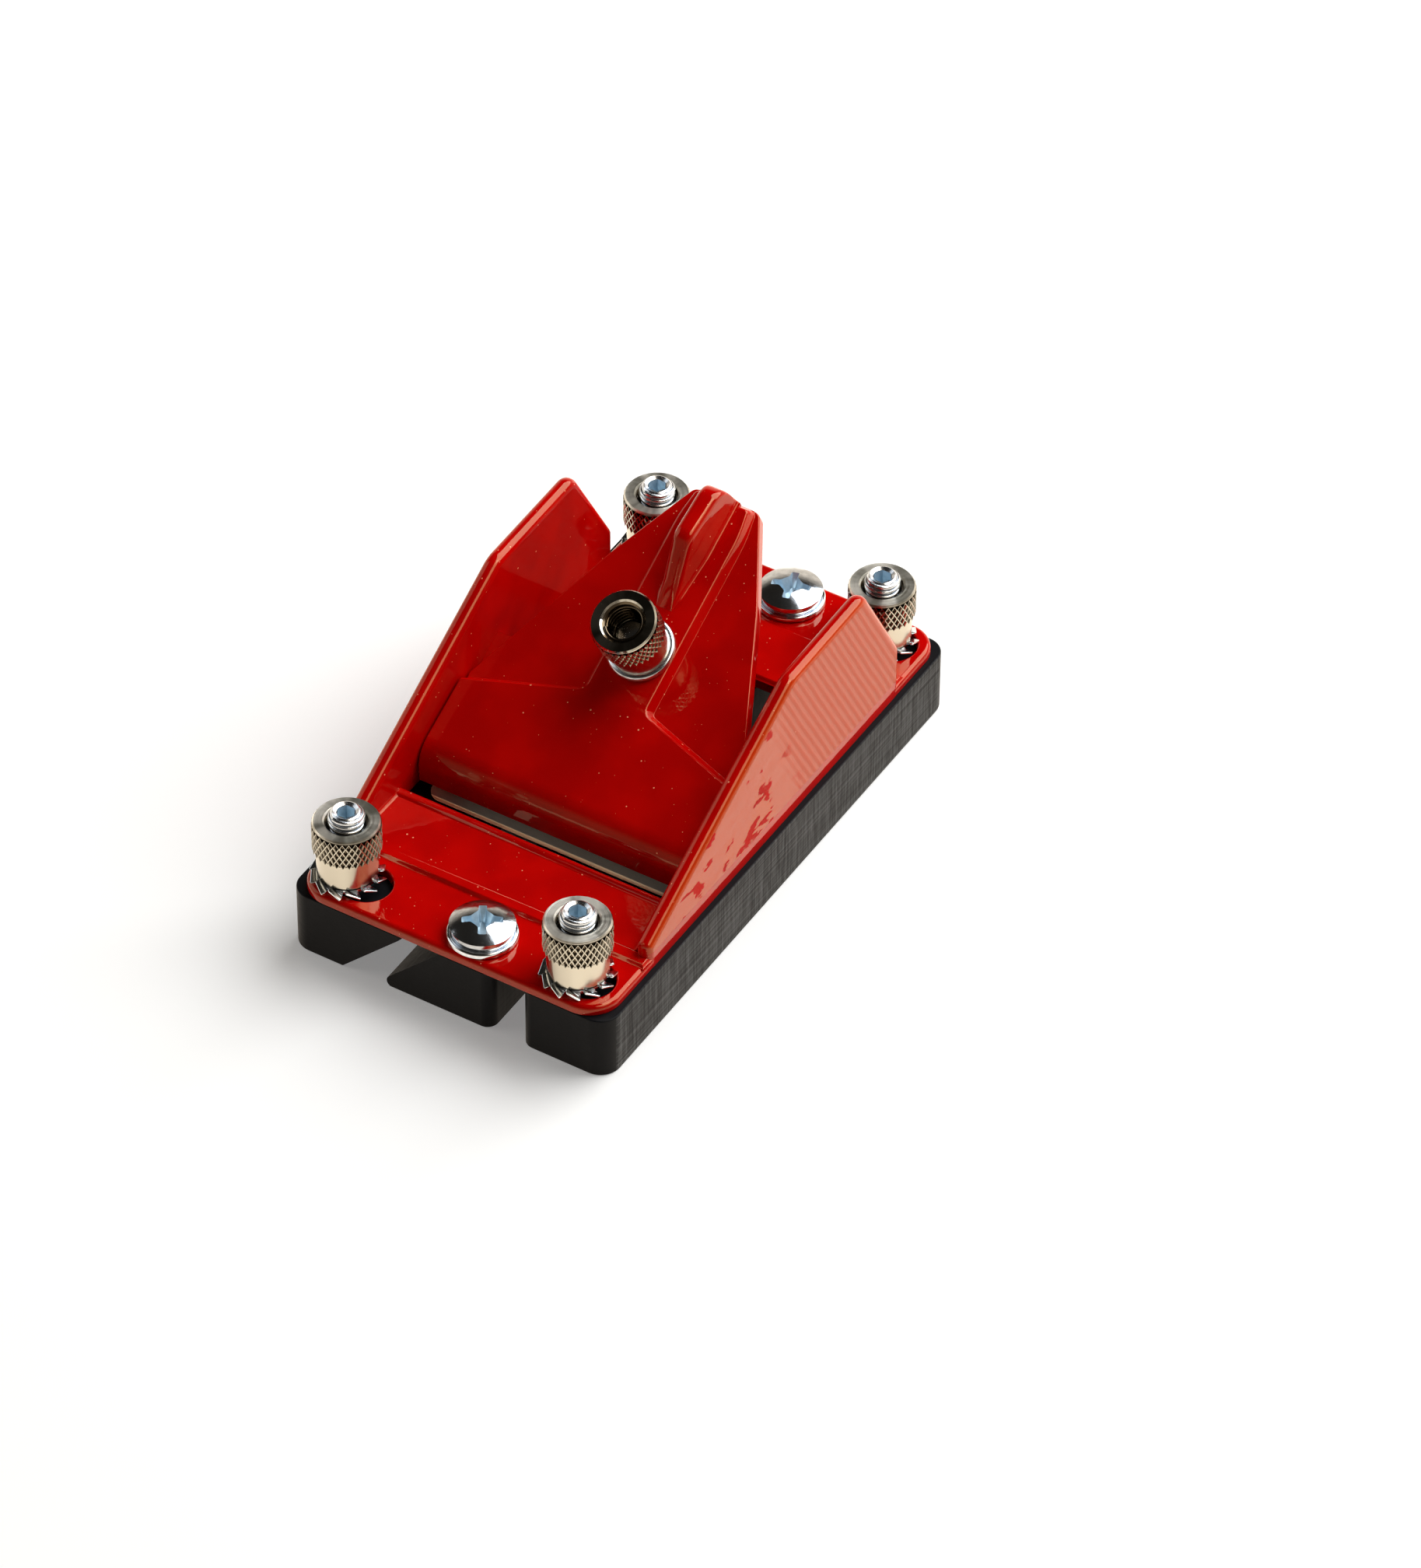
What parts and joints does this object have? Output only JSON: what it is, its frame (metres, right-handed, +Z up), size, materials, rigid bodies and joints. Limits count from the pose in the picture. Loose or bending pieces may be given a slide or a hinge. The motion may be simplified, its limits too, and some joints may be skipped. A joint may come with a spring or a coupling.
{
  "type": "chamfering tool",
  "caption": "Small hand plane with a sloping blade under a lever cap, on sliding black guide bars that form a sloping slot and a straight slot for cutting edges to a set angle.",
  "frame": {"origin": "the middle of the rectangle that the guide bars cover on the surface they stand on", "axes": "+X to the tool's right, seen from behind; +Y from the toe to the heel; +Z up from the sole"},
  "size_m": [0.0482, 0.085, 0.0411],
  "materials": {
    "red_enamel": "glossy",
    "black_bar": "satin",
    "blade_steel": "satin",
    "nickel": "nickel plated, knurled",
    "zinc": "bright zinc plate"
  },
  "bodies": {
    "plane": {"plane_body": "red_enamel", "centre_bar": "black_bar", "front_pan_screw": "zinc", "rear_pan_screw": "zinc", "cap_stud": "zinc", "blade": "blade_steel"},
    "left_guide": {"left_bar": "black_bar", "left_front_set_screw": "zinc", "left_rear_set_screw": "zinc"},
    "right_guide": {"right_bar": "black_bar", "right_front_set_screw": "zinc", "right_rear_set_screw": "zinc"},
    "cap": {"lever_cap": "red_enamel", "cap_washer": "zinc"},
    "cap_knob": {"cap_nut": "nickel"},
    "left_front_lock": {"left_front_washer": "zinc"},
    "left_front_knob": {"left_front_nut": "nickel"},
    "left_rear_lock": {"left_rear_washer": "zinc"},
    "left_rear_knob": {"left_rear_nut": "nickel"},
    "right_front_lock": {"right_front_washer": "zinc"},
    "right_front_knob": {"right_front_nut": "nickel"},
    "right_rear_lock": {"right_rear_washer": "zinc"},
    "right_rear_knob": {"right_rear_nut": "nickel"}
  },
  "joints": [
    {"name": "left_guide_slide", "type": "slide", "parent": "plane", "child": "left_guide", "axis": [1, 0, 0], "range_m": [-0.00095, 0.00365]},
    {"name": "right_guide_slide", "type": "slide", "parent": "plane", "child": "right_guide", "axis": [1, 0, 0], "range_m": [-0.00212, 0.00248]},
    {"name": "left_front_lift", "type": "slide", "parent": "left_guide", "child": "left_front_lock", "axis": [0, 0, 1], "range_m": [0, 0.0012]},
    {"name": "left_front_turn", "type": "hinge", "parent": "left_front_lock", "child": "left_front_knob", "pos_m": [-0.0181, -0.03747, 0.012], "axis": [0, 0, 1], "range_deg": [0, 540]},
    {"name": "left_rear_lift", "type": "slide", "parent": "left_guide", "child": "left_rear_lock", "axis": [0, 0, 1], "range_m": [0, 0.0012]},
    {"name": "left_rear_turn", "type": "hinge", "parent": "left_rear_lock", "child": "left_rear_knob", "pos_m": [-0.0181, 0.03747, 0.012], "axis": [0, 0, 1], "range_deg": [0, 540]},
    {"name": "right_front_lift", "type": "slide", "parent": "right_guide", "child": "right_front_lock", "axis": [0, 0, 1], "range_m": [0, 0.0012]},
    {"name": "right_front_turn", "type": "hinge", "parent": "right_front_lock", "child": "right_front_knob", "pos_m": [0.01657, -0.03747, 0.012], "axis": [0, 0, 1], "range_deg": [0, 540]},
    {"name": "right_rear_lift", "type": "slide", "parent": "right_guide", "child": "right_rear_lock", "axis": [0, 0, 1], "range_m": [0, 0.0012]},
    {"name": "right_rear_turn", "type": "hinge", "parent": "right_rear_lock", "child": "right_rear_knob", "pos_m": [0.01657, 0.03747, 0.012], "axis": [0, 0, 1], "range_deg": [0, 540]},
    {"name": "cap_lift", "type": "slide", "parent": "plane", "child": "cap", "axis": [0, -0.4848, 0.8746], "range_m": [0, 0.0016]},
    {"name": "cap_turn", "type": "hinge", "parent": "cap", "child": "cap_knob", "pos_m": [0, 0.00628, 0.02292], "axis": [0, -0.4848, 0.8746], "range_deg": [0, 720]}
  ],
  "couplings": [
    {"joint": "left_front_turn", "follows": "left_front_lift", "rad_per_m": 7853.9},
    {"joint": "left_rear_turn", "follows": "left_rear_lift", "rad_per_m": 7853.9},
    {"joint": "right_front_turn", "follows": "right_front_lift", "rad_per_m": 7853.9},
    {"joint": "right_rear_turn", "follows": "right_rear_lift", "rad_per_m": 7853.9},
    {"joint": "cap_turn", "follows": "cap_lift", "rad_per_m": 7853.9}
  ]
}
